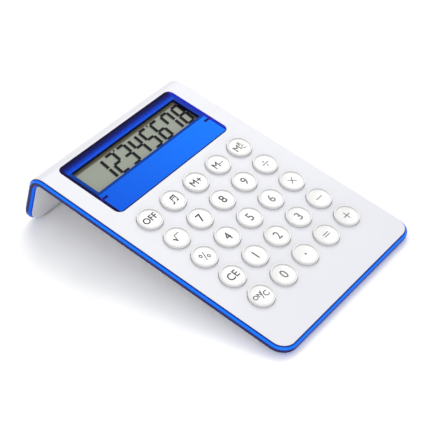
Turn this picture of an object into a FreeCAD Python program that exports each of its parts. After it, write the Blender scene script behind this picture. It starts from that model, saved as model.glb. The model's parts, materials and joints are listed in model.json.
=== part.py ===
import FreeCAD, Part
import math
import os
import re
import Sketcher
from FreeCAD import Placement, Rotation, Vector

# A desk calculator made like a folded sheet: a thin keypad slab whose back edge bends down into a
# full-width leg.  A white top cover and a white bottom cover close on a blue frame that runs round
# the whole outline.  Every part is drawn on the flat slab first: X to the right, Y from the front
# edge towards the back, Z up from the face of the top cover.  At the end each part gets the same
# Placement, which tips the slab up on its leg and puts the origin at the middle of its footprint.

DIMENSIONS = [
    # outline and bend
    ("case_width", 104.6),       # over the blue frame
    ("front_round", 8.2),        # front corners of the outline
    ("leg_round", 12.0),         # lower corners of the leg
    ("bend_start", 143.2),       # front edge to the start of the bend
    ("bend_round", 9.3),         # radius of the outer skin at the bend
    ("leg_lean", 7.1),           # degrees the leg leans outward from square
    ("leg_drop", 28.0),          # end of the bend to the end of the leg
    ("tilt", 11.95),             # degrees the slab slopes when it stands
    ("floor_drop", 4.75),        # face of the slab to the table, at the front edge
    # shell section
    ("wall", 1.1),               # white covers
    ("cover_step", 0.25),        # covers stand this much above the frame
    ("frame_bevel", 1.3),
    ("frame_band", 1.6),         # plain band between the frame's two bevels
    ("frame_land", 1.5),         # frame edge to the step that the covers sit against
    ("leg_land", 0.7),           # the same step at the end of the leg
    ("frame_reach", 3.2),        # how far the frame reaches in between the covers
    ("seam", 0.05),              # assembly gap round a fitted part
    # keypad
    ("key_pitch_side", 17.0),
    ("key_pitch_deep", 16.24),
    ("key_front", 27.36),        # front edge to the centres of the first row
    ("key_radius", 6.3),
    ("key_proud", 1.6),
    ("key_rim", 0.6),            # rounding of the key's top edge
    ("key_dish_radius", 4.9),
    ("key_dish_depth", 0.5),
    ("key_gap", 0.2),            # key to the wall of its hole
    ("key_flange", 7.1),
    ("key_flange_depth", 0.5),
    ("key_boss", 2.4),
    ("key_boss_depth", 0.35),
    # display
    ("panel_side", 0.3),         # the display sits a little to the right
    ("panel_width", 83.0),
    ("panel_deep", 40.2),
    ("panel_front", 104.4),
    ("panel_round", 3.6),
    ("panel_sink", 0.2),         # panel face below the cover's face
    ("panel_flange", 0.65),
    ("panel_ledge", 1.6),
    ("skirt_bottom", 2.0),
    ("window_width", 75.6),
    ("window_deep", 17.4),
    ("window_front", 120.8),
    ("clip_slot_front", 116.25),
    ("clip_slot_deep", 0.9),
    ("clip_slot_width", 3.0),
    ("film", 0.15),
    ("glass", 0.7),
    ("glass_width", 80.0),
    ("glass_front", 117.6),
    ("glass_deep", 21.8),
    ("glass_ledge", 2.6),
    # tray under the keypad and what lies in it
    ("tray_width", 90.0),
    ("tray_front", 14.0),
    ("tray_back", 141.0),
    ("tray_round", 5.0),
    ("tray_bottom", 6.4),
    ("tray_wall", 1.0),
    ("board_top", 4.1),
    ("board", 0.8),
    ("board_width", 86.0),
    ("board_front", 16.5),
    ("board_deep", 122.4),
    ("mat", 0.4),
    ("mat_width", 85.0),
    ("mat_front", 18.6),
    ("mat_deep", 80.0),
    ("mat_round", 2.0),
    ("dome_radius", 3.4),
    ("dome_rise", 0.6),
    ("dome_hollow", 2.5),
    ("dome_roof", 0.5),
    ("dome_taper", 30.0),
    ("pill_radius", 1.5),
    ("pill", 0.15),
    # cells
    ("cell_radius", 5.8),
    ("cell_height", 3.05),
    ("cell_cap", 0.5),
    ("cell_rim", 4.7),
    ("cell_pitch", 12.6),
    ("cell_row", 107.0),
    ("cell_bay_width", 25.6),
    ("cell_bay_deep", 12.8),
    ("door_width", 39.0),
    ("door_middle", 4.5),
    ("door_deep", 16.0),
    ("door_step", 0.5),
    ("link", 0.15),
    ("contact_width", 5.0),
    ("contact_foot", 2.4),
    # fasteners and feet
    ("boss_radius", 1.9),
    ("boss_end", 4.95),
    ("screw_side", 25.5),
    ("screw_back_side", 40.2),
    ("screw_back", 101.5),
    ("screw_shank", 0.95),
    ("screw_tip", 2.0),
    ("screw_point", 0.5),
    ("thread_gap", 0.03),
    ("screw_head", 1.75),
    ("screw_head_depth", 0.8),
    ("screw_seat", 5.5),
    ("screw_post", 2.6),
    ("post_clearance", 0.25),
    ("cross_width", 0.45),
    ("cross_length", 2.1),
    ("cross_depth", 0.4),
    ("door_screw_side", 20.2),
    ("door_post_top", 2.1),
    ("door_screw_tip", 2.5),
    ("foot_radius", 4.0),
    ("foot_side", 38.0),
    ("foot_front", 9.4),
    ("sole_width", 80.0),
    ("sole_thick", 3.9),
    # sounder and board parts
    ("disc_radius", 10.0),
    ("disc", 0.2),
    ("disc_side", 28.0),
    ("disc_row", 113.0),
    ("sound_hole", 0.6),
    ("sound_ring", 3.0),
    ("chip_radius", 4.2),
    ("chip_rise", 0.9),
    ("chip_side", 26.0),
    ("chip_row", 110.5),
    ("chip_part_side", 34.0),
    ("chip_part_front", 105.5),
    ("chip_part_pitch", 3.2),
    ("chip_part_width", 0.9),
    ("chip_part_rise", 0.6),
]
ALIASES = {alias for alias, _ in DIMENSIONS}
KEY_COLUMNS = 5
KEY_ROWS = 5
KEY_NAMES = [
    ["off", "melody", "memory_plus", "memory_minus", "memory_recall"],
    ["square_root", "seven", "eight", "nine", "divide"],
    ["percent", "four", "five", "six", "multiply"],
    ["clear_entry", "one", "two", "three", "minus"],
    ["on_clear", "zero", "point", "equals", "plus"],
]

doc = FreeCAD.newDocument("desk_calculator")
sheet = doc.addObject("Spreadsheet::Sheet", "Dims")
for row, (alias, size) in enumerate(DIMENSIONS, start=1):
    sheet.set(f"A{row}", alias)
    sheet.set(f"B{row}", str(size))
    sheet.setAlias(f"B{row}", alias)
doc.recompute()


# ---- expressions ------------------------------------------------------------

def full(expression):
    """The expression with every dimension's name pointing at the sheet."""
    return re.sub(r"[a-z_]+", lambda word: "Dims." + word.group()
                  if word.group() in ALIASES else word.group(), expression)


def value(expression):
    """The number that an expression gives now."""
    return float(sheet.evalExpression(full(expression)))


def bind(feature, prop, expression):
    feature.setExpression(prop, full(expression))


# ---- the bent path that the shells follow -----------------------------------

def bent_point(below, along):
    """A point on the leg: below the outer skin, and along from the end of the bend."""
    across = f"(bend_round - ({below}))"
    y = f"bend_start + {across} * cos(leg_lean) + ({along}) * sin(leg_lean)"
    z = f"-bend_round + {across} * sin(leg_lean) - ({along}) * cos(leg_lean)"
    return y, z


def skin_depth(point):
    """How far a point lies below the outer skin, on the slab, in the bend or on the leg."""
    lean = math.radians(value("leg_lean"))
    radius = value("bend_round")
    y = point.y - value("bend_start")
    z = point.z + radius
    if y <= 0:
        return -point.z
    if math.atan2(y, z) <= math.pi / 2 - lean:
        return radius - math.hypot(y, z)
    return radius - y * math.cos(lean) - z * math.sin(lean)


# ---- sketches and bodies ----------------------------------------------------

def new_body(label):
    body = doc.addObject("PartDesign::Body", label)
    body.Label = label
    return body


def new_sketch(body, role, lift="0"):
    """A sketch on one of the body's own origin planes, lifted along that plane's normal."""
    plane = next(part for part in body.Origin.OriginFeatures if part.Role == role)
    sketch = body.newObject("Sketcher::SketchObject", "Sketch")
    sketch.AttachmentSupport = [(plane, "")]
    sketch.MapMode = "FlatFace"
    if lift != "0":
        bind(sketch, ".AttachmentOffset.Base.z", lift)
    return sketch


def pin_point(sketch, edge, end, x, y):
    """Holds one point of a sketch at a place given by two expressions."""
    for kind, axis, place in (("DistanceX", -2, x), ("DistanceY", -1, y)):
        if place == "0":
            sketch.addConstraint(Sketcher.Constraint("PointOnObject", edge, end, axis))
        else:
            held = sketch.addConstraint(Sketcher.Constraint(kind, -1, 1, edge, end, value(place)))
            sketch.setExpression(f"Constraints[{held}]", full(place))


def draw_outline(sketch, corners, arcs=None):
    """A closed outline.  arcs gives the edges that are round: {edge: (radius, turn)}, and turn is
    1 where the arc's centre is on the left of the way round, and -1 where it is on the right."""
    arcs = arcs or {}
    points = [Vector(value(x), value(y), 0) for x, y in corners]
    first = sketch.GeometryCount
    count = len(corners)
    for index, start in enumerate(points):
        stop = points[(index + 1) % count]
        if index not in arcs:
            sketch.addGeometry(Part.LineSegment(start, stop))
            continue
        radius = value(arcs[index][0])
        turn = arcs[index][1]
        chord = stop - start
        reach = math.sqrt(max(radius ** 2 - (chord.Length / 2) ** 2, 0))
        left = Vector(-chord.y, chord.x, 0).normalize()
        centre = (start + stop) * 0.5 + left * (reach * turn)
        bulge = centre - left * (radius * turn)
        sketch.addGeometry(Part.Arc(start, bulge, stop))
    joints = [(1, 2) if index not in arcs or arcs[index][1] > 0 else (2, 1)
              for index in range(count)]
    for index, (x, y) in enumerate(corners):
        after = (index + 1) % count
        sketch.addConstraint(Sketcher.Constraint(
            "Coincident", first + index, joints[index][1], first + after, joints[after][0]))
        pin_point(sketch, first + index, joints[index][0], x, y)
        if index in arcs:
            held = sketch.addConstraint(Sketcher.Constraint(
                "Radius", first + index, value(arcs[index][0])))
            sketch.setExpression(f"Constraints[{held}]", full(arcs[index][0]))


def draw_rectangle(sketch, middle, front, width, deep, corner=None):
    """A rectangle, with rounded corners where a corner radius is given."""
    left = f"{middle} - ({width}) / 2"
    right = f"{middle} + ({width}) / 2"
    back = f"{front} + {deep}"
    if corner is None:
        draw_outline(sketch, [(left, front), (right, front), (right, back), (left, back)])
        return
    draw_outline(sketch, [
        (f"{left} + {corner}", front),
        (f"{right} - ({corner})", front),
        (right, f"{front} + {corner}"),
        (right, f"{back} - ({corner})"),
        (f"{right} - ({corner})", back),
        (f"{left} + {corner}", back),
        (left, f"{back} - ({corner})"),
        (left, f"{front} + {corner}"),
    ], {edge: (corner, 1) for edge in (1, 3, 5, 7)})


def draw_circle(sketch, x, y, radius):
    edge = sketch.addGeometry(Part.Circle(
        Vector(value(x), value(y), 0), Vector(0, 0, 1), value(radius)))
    pin_point(sketch, edge, 3, x, y)
    held = sketch.addConstraint(Sketcher.Constraint("Radius", edge, value(radius)))
    sketch.setExpression(f"Constraints[{held}]", full(radius))


def add_feature(body, kind, sketch, length, symmetric=False, reverse=False):
    """A pad or a pocket from a sketch.  A pad must add volume and a pocket must remove some."""
    doc.recompute()
    before = body.Shape.Volume if not body.Shape.isNull() else 0.0
    feature = body.newObject("PartDesign::" + kind, kind)
    feature.Profile = sketch
    bind(feature, "Length", length)
    if symmetric:
        feature.SideType = "Symmetric"
    feature.Reversed = reverse
    doc.recompute()
    change = feature.Shape.Volume - before
    if (change <= 0) if kind == "Pad" else (change >= 0):
        raise RuntimeError(f"{body.Label}: the {kind} changes the volume by {change:.3f}")
    return feature


def edges_near(shape, places):
    """The names of the edges whose middle is at one of these places."""
    names = []
    for index, edge in enumerate(shape.Edges, start=1):
        if any((edge.CenterOfMass - place).Length < 0.05 for place in places):
            names.append(f"Edge{index}")
    if len(names) != len(places):
        raise RuntimeError(f"{len(names)} edges found at {len(places)} places")
    return names


def round_edges(body, names, radius, kind="Fillet"):
    base = body.Tip
    feature = body.newObject("PartDesign::" + kind, kind)
    feature.Base = (base, names)
    bind(feature, "Radius" if kind == "Fillet" else "Size", radius)
    doc.recompute()
    if "Invalid" in feature.State:
        raise RuntimeError(f"{body.Label}: the {kind} fails")
    return feature


def plate(label, front, width, deep, high, thick, middle="0", corner=None):
    """A flat rectangular plate whose upper face is at depth high."""
    body = new_body(label)
    add_plate(body, front, width, deep, high, thick, middle, corner)
    return body


def add_plate(body, front, width, deep, high, thick, middle="0", corner=None):
    sketch = new_sketch(body, "XY_Plane", f"-({high})")
    draw_rectangle(sketch, middle, front, width, deep, corner)
    return add_feature(body, "Pad", sketch, thick, reverse=True)


def cut_plate(body, front, width, deep, high, thick, middle="0", corner=None):
    sketch = new_sketch(body, "XY_Plane", f"-({high})")
    draw_rectangle(sketch, middle, front, width, deep, corner)
    return add_feature(body, "Pocket", sketch, thick)


def cut_rounds(body, places, radius, high, thick):
    sketch = new_sketch(body, "XY_Plane", f"-({high})")
    for x, y in places:
        draw_circle(sketch, x, y, radius)
    return add_feature(body, "Pocket", sketch, thick)


def add_rounds(body, places, radius, high, thick):
    sketch = new_sketch(body, "XY_Plane", f"-({high})")
    for x, y in places:
        draw_circle(sketch, x, y, radius)
    return add_feature(body, "Pad", sketch, thick, reverse=True)


def lathe(label, corners, arcs=None):
    """A part turned about Z from half of its section."""
    body = new_body(label)
    sketch = new_sketch(body, "XZ_Plane")
    draw_outline(sketch, corners, arcs)
    turned = body.newObject("PartDesign::Revolution", "Revolution")
    turned.Profile = sketch
    turned.ReferenceAxis = (sketch, ["V_Axis"])
    turned.Angle = 360
    doc.recompute()
    return body


def group(label, members):
    """Separate solids of one kind that share a node."""
    compound = doc.addObject("Part::Compound", label)
    compound.Label = label
    compound.Links = members
    doc.recompute()
    return compound


KEY_SPOTS = [
    (f"({column} - 2) * key_pitch_side", f"key_front + {row} * key_pitch_deep")
    for column in range(KEY_COLUMNS) for row in range(KEY_ROWS)]
CASE_SCREWS = [
    ("-screw_side", "key_front + key_pitch_deep / 2"),
    ("screw_side", "key_front + key_pitch_deep / 2"),
    ("-screw_side", "key_front + 3.5 * key_pitch_deep"),
    ("screw_side", "key_front + 3.5 * key_pitch_deep"),
    ("-screw_back_side", "screw_back"),
    ("screw_back_side", "screw_back"),
]
DOOR_SCREW = ("door_screw_side", "cell_row")
SOUNDER = ("-disc_side", "disc_row")
CELL_SIDES = ("-cell_pitch / 2", "cell_pitch / 2")
BAY_FRONT = "cell_row - cell_bay_deep / 2"


# ---- shells -----------------------------------------------------------------

def bent_plate(label, high, low, inset, end=None):
    """A plate between two depths below the outer skin that follows the slab, the bend and the leg,
    drawn in from the outline by inset all round, or by end at the end of the leg."""
    body = new_body(label)
    sketch = new_sketch(body, "YZ_Plane")
    reach = f"leg_drop - ({end or inset})"
    corners = [
        (inset, f"-({high})"),
        ("bend_start", f"-({high})"),
        bent_point(high, "0"),
        bent_point(high, reach),
        bent_point(low, reach),
        bent_point(low, "0"),
        ("bend_start", f"-({low})"),
        (inset, f"-({low})"),
    ]
    arcs = {1: (f"bend_round - ({high})", -1), 5: (f"bend_round - ({low})", 1)}
    draw_outline(sketch, corners, arcs)
    add_feature(body, "Pad", sketch, f"case_width - 2 * ({inset})", symmetric=True)
    half = value(f"case_width / 2 - ({inset})")
    middle = f"(({high}) + ({low})) / 2"
    leg_y, leg_z = bent_point(middle, reach)
    for y, z, radius in ((inset, f"-{middle}", "front_round"), (leg_y, leg_z, "leg_round")):
        places = [Vector(side * half, value(y), value(z)) for side in (-1, 1)]
        round_edges(body, edges_near(body.Shape, places), f"{radius} - ({inset})")
    return body


def rim_edges(shape, depth, end):
    """The edges of a bent plate's outline that lie at one depth."""
    names = []
    for index, edge in enumerate(shape.Edges, start=1):
        ends = [edge.valueAt(edge.FirstParameter), edge.valueAt(edge.LastParameter)]
        middle = edge.valueAt((edge.FirstParameter + edge.LastParameter) / 2)
        if any(abs(skin_depth(point) - depth) > 0.01 for point in ends + [middle]):
            continue
        across = abs(ends[0].x - ends[1].x) > 1 and abs(middle.x) < 1
        if across and middle.y > 1 and (middle - end).Length > 1:
            continue
        names.append(f"Edge{index}")
    return names


def make_edge_frame():
    """The blue ring: a bevelled band outside, and a tongue that reaches in between the covers."""
    high = "cover_step"
    low = "cover_step + 2 * frame_bevel + frame_band"
    blank = bent_plate("frame_blank", high, low, "0")
    names = []
    for depth in (high, low):
        y, z = bent_point(depth, "leg_drop")
        names += rim_edges(blank.Shape, value(depth), Vector(0, value(y), value(z)))
    round_edges(blank, names, "frame_bevel", kind="Chamfer")
    hollow = bent_plate("frame_hollow", "-1", f"{low} + 1", "frame_reach")
    upper = bent_plate("frame_upper_step", "-1", "wall", "frame_land", "leg_land")
    lower = bent_plate("frame_lower_step", f"{low} + cover_step - wall", f"{low} + 1",
                       "frame_land", "leg_land")
    tools = [hollow, upper, lower, leg_end_block("frame_sole_seat")]
    waste = doc.addObject("Part::MultiFuse", "frame_waste")
    waste.Shapes = tools
    frame = doc.addObject("Part::Cut", "edge_frame")
    frame.Label = "edge_frame"
    frame.Base = blank
    frame.Tool = waste
    doc.recompute()
    return frame


def leg_end_block(label):
    """The strip across the end of the leg, longer than it needs to be."""
    body = new_body(label)
    middle = "(cover_step + frame_bevel + frame_band / 2)"
    sketch = new_sketch(body, "YZ_Plane")
    high = f"{middle} - sole_thick / 2"
    low = f"{middle} + sole_thick / 2"
    draw_outline(sketch, [
        bent_point(high, "leg_drop - leg_land"),
        bent_point(high, "leg_drop + 2"),
        bent_point(low, "leg_drop + 2"),
        bent_point(low, "leg_drop - leg_land"),
    ])
    add_feature(body, "Pad", sketch, "sole_width", symmetric=True)
    return body


def trim_at_table(body):
    """Cuts a foot off level with the table, which the slab meets at the angle tilt."""
    sketch = new_sketch(body, "YZ_Plane")
    back = "bend_start + 40"
    draw_outline(sketch, [
        ("-10", "-floor_drop + 10 * tan(tilt)"),
        ("-10", "-100"),
        (back, "-100"),
        (back, f"-floor_drop - ({back}) * tan(tilt)"),
    ])
    add_feature(body, "Pocket", sketch, "case_width", symmetric=True)
    return body


def make_top_cover():
    """The white upper shell: 25 round key holes, a sunk seat for the display panel, screw bosses."""
    body = bent_plate("top_cover", "0", "wall", "frame_land + seam", "leg_land + seam")
    cut_rounds(body, KEY_SPOTS, "key_radius + key_gap", "-1", "wall + 2")
    cut_plate(body, "panel_front", "panel_width", "panel_deep", "-1",
              "1 + panel_sink + panel_flange", middle="panel_side", corner="panel_round")
    cut_plate(body, "panel_front + panel_ledge", "panel_width - 2 * panel_ledge",
              "panel_deep - 2 * panel_ledge", "-1", "wall + 2", middle="panel_side")
    add_rounds(body, CASE_SCREWS, "boss_radius", "wall / 2", "boss_end - wall / 2")
    sketch = new_sketch(body, "XY_Plane", "-boss_end")
    for x, y in CASE_SCREWS:
        draw_circle(sketch, x, y, "screw_shank + thread_gap")
    add_feature(body, "Pocket", sketch, "boss_end - screw_tip + 0.1", reverse=True)
    return body


def make_bottom_cover():
    """The white lower shell: the bent plate, a tray that deepens it under the keypad and the
    display, the cell bay with its stepped mouth, screw seats and the sounder's holes."""
    low = "2 * cover_step + 2 * frame_bevel + frame_band"
    high = f"({low} - wall)"
    body = bent_plate("bottom_cover", high, low, "frame_land + seam", "leg_land + seam")
    deep = "tray_back - tray_front"
    add_plate(body, "tray_front", "tray_width", deep, high, f"tray_bottom - {high}",
              corner="tray_round")
    cut_plate(body, "tray_front + tray_wall", "tray_width - 2 * tray_wall",
              f"{deep} - 2 * tray_wall", "0", "tray_bottom - tray_wall",
              corner="tray_round - tray_wall")
    add_rounds(body, CASE_SCREWS, "screw_post", "boss_end + seam",
               "tray_bottom - tray_wall / 2 - boss_end - seam")
    cut_rounds(body, CASE_SCREWS, "screw_shank + seam", "boss_end - 1", "3")
    sketch = new_sketch(body, "XY_Plane", "-tray_bottom")
    for x, y in CASE_SCREWS:
        draw_circle(sketch, x, y, "screw_head + seam")
    add_feature(body, "Pocket", sketch, "tray_bottom - screw_seat", reverse=True)
    cut_plate(body, BAY_FRONT, "cell_bay_width", "cell_bay_deep", "tray_bottom - tray_wall - 0.5",
              "tray_wall + 1")
    cut_plate(body, "cell_row - door_deep / 2", "door_width", "door_deep",
              "tray_bottom - door_step", "door_step + 0.5", middle="door_middle")
    add_rounds(body, [DOOR_SCREW], "screw_post", "door_post_top",
               "tray_bottom - tray_wall / 2 - door_post_top - 0.1")
    sketch = new_sketch(body, "XY_Plane", "-tray_bottom")
    draw_circle(sketch, *DOOR_SCREW, "screw_shank + thread_gap")
    add_feature(body, "Pocket", sketch, "tray_bottom - door_screw_tip + 0.1", reverse=True)
    sound_holes = [SOUNDER] + [
        (f"{SOUNDER[0]} + sound_ring * cos({60 * turn})",
         f"{SOUNDER[1]} + sound_ring * sin({60 * turn})") for turn in range(6)]
    cut_rounds(body, sound_holes, "sound_hole", "tray_bottom - tray_wall - 0.5",
               "tray_wall + 1")
    return body


# ---- display ----------------------------------------------------------------

def make_display_panel():
    """The blue panel: a flange that lies in the top cover's seat, a skirt under it down to the
    glass, the window, and two slots for the clips at its sides."""
    inner = "panel_width - 2 * seam"
    body = plate("display_panel", "panel_front + seam", inner, "panel_deep - 2 * seam",
                 "panel_sink", "panel_flange", middle="panel_side", corner="panel_round - seam")
    add_plate(body, "panel_front + panel_ledge + seam", "panel_width - 2 * panel_ledge - 2 * seam",
              "panel_deep - 2 * panel_ledge - 2 * seam", "panel_sink + panel_flange",
              "skirt_bottom - panel_sink - panel_flange", middle="panel_side")
    cut_plate(body, "window_front", "window_width", "window_deep", "0", "skirt_bottom + 0.5",
              middle="panel_side")
    for side in "-+":
        cut_plate(body, "clip_slot_front", "clip_slot_width", "clip_slot_deep", "0",
                  "panel_sink + 0.4", middle=f"panel_side {side} window_width / 2")
    return body


def make_display_glass():
    """The liquid crystal cell: polariser, front glass, rear glass and reflector, and the striped
    rubber that joins the front glass's ledge to the board."""
    top = "skirt_bottom + seam"
    front_glass = f"{top} + film"
    rear_glass = f"{front_glass} + glass"
    reflector = f"{rear_glass} + glass"
    ledge = "glass_front + glass_ledge"
    made = [
        plate("front_polariser", f"{ledge} - 0.4", "glass_width - 2",
              "glass_deep - glass_ledge", top, "film"),
        plate("front_glass", "glass_front", "glass_width", "glass_deep", front_glass, "glass"),
        plate("rear_glass", ledge, "glass_width", "glass_deep - glass_ledge", rear_glass, "glass"),
        plate("rear_reflector", f"{ledge} + 0.4", "glass_width - 2",
              "glass_deep - glass_ledge - 0.8", reflector, "film"),
        plate("striped_connector", "glass_front + 0.4", "glass_width - 8", "glass_ledge - 0.9",
              rear_glass, f"board_top - ({rear_glass})"),
    ]
    return made


# ---- keypad -----------------------------------------------------------------

def make_key(name, column, row):
    """A clear round key: a shallow dish on top, a rounded edge, a flange that keeps it under the
    cover and a boss that presses its dome."""
    under = "wall + seam"
    flange = f"{under} + key_flange_depth"
    foot = f"{flange} + key_boss_depth"
    dish = "(key_dish_radius ^ 2 + key_dish_depth ^ 2) / (2 * key_dish_depth)"
    key = lathe("key_" + name, [
        ("0", f"-({foot})"),
        ("key_boss", f"-({foot})"),
        ("key_boss", f"-({flange})"),
        ("key_flange", f"-({flange})"),
        ("key_flange", f"-({under})"),
        ("key_radius", f"-({under})"),
        ("key_radius", "key_proud - key_rim"),
        ("key_radius - key_rim", "key_proud"),
        ("key_dish_radius", "key_proud"),
        ("0", "key_proud - key_dish_depth"),
    ], {6: ("key_rim", 1), 8: (dish, -1)})
    spot = Vector((column - 2) * value("key_pitch_side"),
                  value("key_front") + row * value("key_pitch_deep"), 0)
    return key, spot


def make_key_mat():
    """The silicone sheet with a hollow dome under each key, drawn as it is when pressed."""
    body = plate("key_mat", "mat_front", "mat_width", "mat_deep", "board_top - mat", "mat",
                 corner="mat_round")
    sketch = new_sketch(body, "XY_Plane", "-(board_top - mat)")
    for spot in KEY_SPOTS:
        draw_circle(sketch, *spot, "dome_radius")
    dome = add_feature(body, "Pad", sketch, "dome_rise")
    bind(dome, "TaperAngle", "-dome_taper")
    sketch = new_sketch(body, "XY_Plane", "-(board_top - mat - dome_rise + dome_roof)")
    for spot in KEY_SPOTS:
        draw_circle(sketch, *spot, "dome_hollow")
    add_feature(body, "Pocket", sketch, "mat + dome_rise")
    front_screws = CASE_SCREWS[:4]
    cut_rounds(body, front_screws, "screw_post", "board_top - mat - 0.5", "mat + 1")
    return body


def make_carbon_pills():
    """The carbon disc inside each dome, which bridges the board's contacts."""
    roof = "board_top - mat - dome_rise + dome_roof"
    pills = []
    for spot in KEY_SPOTS:
        body = new_body("pill")
        add_rounds(body, [spot], "pill_radius", roof, "pill")
        pills.append(body)
    return group("carbon_pills", pills)


# ---- board and what it carries ----------------------------------------------

def make_circuit_board():
    body = plate("circuit_board", "board_front", "board_width", "board_deep", "board_top", "board",
                 corner="tray_round - tray_wall")
    cut_plate(body, BAY_FRONT, "cell_bay_width", "cell_bay_deep", "board_top - 0.5", "board + 1")
    cut_rounds(body, CASE_SCREWS, "boss_radius + post_clearance", "board_top - 0.5", "board + 1")
    cut_rounds(body, [DOOR_SCREW], "screw_post + post_clearance", "board_top - 0.5", "board + 1")
    return body


def make_chip_cap():
    """The drop of black resin over the chip."""
    radius = "(chip_radius ^ 2 + chip_rise ^ 2) / (2 * chip_rise)"
    body = lathe("chip_cap", [("0", "0"), ("chip_radius", "0"), ("0", "chip_rise")],
                 {1: (radius, 1)})
    return body, Vector(-value("chip_side"), value("chip_row"), -value("board_top"))


def make_board_parts():
    """Two ceramic capacitors and a resistor beside the chip."""
    parts = []
    for index, deep in enumerate(("1.6", "1.6", "2.0")):
        parts.append(plate("board_part", f"chip_part_front + {index} * chip_part_pitch",
                           "chip_part_width", deep, "board_top - chip_part_rise",
                           "chip_part_rise", middle="-chip_part_side"))
    return group("board_parts", parts)


def make_sounder():
    """The brass sounder disc with its ceramic face, stuck over the holes in the tray."""
    floor = "(tray_bottom - tray_wall)"
    body = new_body("sounder_disc")
    add_rounds(body, [SOUNDER], "disc_radius", f"{floor} - disc", "disc")
    add_rounds(body, [SOUNDER], "disc_radius * 0.7",
               f"{floor} - disc - 0.1", "0.15")
    return body


# ---- cells ------------------------------------------------------------------

def make_cells():
    """Two button cells: a wide can below and a narrower cap above."""
    cells = []
    floor = "tray_bottom - tray_wall - link"
    for side in CELL_SIDES:
        body = new_body("cell")
        add_rounds(body, [(side, "cell_row")], "cell_radius",
                   f"{floor} - cell_height + cell_cap", "cell_height - cell_cap")
        add_rounds(body, [(side, "cell_row")], "cell_rim",
                   f"{floor} - cell_height", "cell_cap + 0.1")
        cells.append(body)
    return group("button_cells", cells)


def make_cell_contacts():
    """Two bent springs that press on the cells from above, each soldered to the board."""
    springs = []
    top = "tray_bottom - tray_wall - link - cell_height"
    back = "cell_row + cell_bay_deep / 2 + 0.3"
    for side in CELL_SIDES:
        body = new_body("contact")
        sketch = new_sketch(body, "YZ_Plane", side)
        draw_outline(sketch, [
            ("cell_row - 2", f"-({top})"),
            (back, f"-({top})"),
            (back, "-board_top"),
            (f"{back} + contact_foot", "-board_top"),
            (f"{back} + contact_foot", "-(board_top - link)"),
            (f"{back} + link", "-(board_top - link)"),
            (f"{back} + link", f"-({top} - link)"),
            ("cell_row - 2", f"-({top} - link)"),
        ])
        add_feature(body, "Pad", sketch, "contact_width", symmetric=True)
        springs.append(body)
    return group("cell_contacts", springs)


def make_cell_door():
    """The stepped hatch over the cells, held by one screw."""
    gap = "2 * seam"
    body = plate("cell_door", "cell_row - door_deep / 2 + seam", f"door_width - {gap}",
                 f"door_deep - {gap}", "tray_bottom - door_step", "door_step",
                 middle="door_middle")
    add_plate(body, f"{BAY_FRONT} + seam", f"cell_bay_width - {gap}", f"cell_bay_deep - {gap}",
              "tray_bottom - tray_wall", "tray_wall - door_step")
    cut_rounds(body, [DOOR_SCREW], "screw_shank + seam", "tray_bottom - 1", "2")
    mouth = Vector(value(DOOR_SCREW[0]), value(DOOR_SCREW[1]), -value("tray_bottom"))
    round_edges(body, edges_near(body.Shape, [mouth]), "door_step - 0.02", kind="Chamfer")
    return body


def make_cell_link():
    """The plate on the door that joins the two cells in series."""
    return plate("cell_link", "cell_row - 4", "cell_bay_width - 2", "8",
                 "tray_bottom - tray_wall - link", "link")


# ---- fasteners and feet -----------------------------------------------------

def make_screw(label, head, tip, cross):
    """A screw standing head down, with the tray's underside at height 0.  head is the section of
    its head from the axis out to the shank, and tip is the height of the other end."""
    body = lathe(label, head + [
        ("screw_shank", f"{tip} - screw_point"),
        ("screw_shank / 2", tip),
        ("0", tip),
    ])
    for width, deep in (("cross_width", cross), (cross, "cross_width")):
        sketch = new_sketch(body, "XY_Plane", head[0][1])
        draw_rectangle(sketch, "0", f"-({deep}) / 2", width, deep)
        add_feature(body, "Pocket", sketch, "cross_depth", reverse=True)
    return body


def make_case_screws():
    """Six pan-head screws sunk in the tray, one up into each boss of the top cover."""
    seat = "(tray_bottom - screw_seat)"
    face = f"{seat} - screw_head_depth"
    head = [("0", face), ("screw_head", face), ("screw_head", seat), ("screw_shank", seat)]
    screws = []
    for x, y in CASE_SCREWS:
        screw = make_screw("screw", head, "(tray_bottom - screw_tip)", "cross_length")
        screw.Placement = Placement(Vector(value(x), value(y), -value("tray_bottom")), Rotation())
        screws.append(screw)
    return group("case_screws", screws)


def make_door_screw():
    """The countersunk screw of the cell door."""
    head = [("0", "0"), ("screw_shank + door_step - seam", "0"), ("screw_shank", "door_step")]
    screw = make_screw("door_screw", head, "(tray_bottom - door_screw_tip)", "cross_length * 0.75")
    return screw, Vector(value(DOOR_SCREW[0]), value(DOOR_SCREW[1]), -value("tray_bottom"))


def make_front_feet():
    """Two rubber pads under the front, cut level with the table."""
    low = "2 * cover_step + 2 * frame_bevel + frame_band"
    feet = []
    for side in ("-", ""):
        body = new_body("front_foot")
        add_rounds(body, [(f"{side}foot_side", "foot_front")], "foot_radius", low, "6")
        feet.append(trim_at_table(body))
    return group("front_feet", feet)


def make_leg_sole():
    """The dark rubber strip under the leg."""
    return trim_at_table(leg_end_block("leg_sole"))


# ---- assembly ---------------------------------------------------------------

fixed = [
    make_edge_frame(),
    make_top_cover(),
    make_bottom_cover(),
    make_display_panel(),
    *make_display_glass(),
    make_key_mat(),
    make_carbon_pills(),
    make_circuit_board(),
    make_board_parts(),
    make_sounder(),
    make_cells(),
    make_cell_contacts(),
    make_cell_door(),
    make_cell_link(),
    make_case_screws(),
    make_front_feet(),
    make_leg_sole(),
]
placed = [(part, Vector(0, 0, 0)) for part in fixed]
placed.append(make_chip_cap())
placed.append(make_door_screw())
for back_row, names in enumerate(reversed(KEY_NAMES)):
    for column, name in enumerate(names):
        placed.append(make_key(name, column, back_row))

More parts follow.
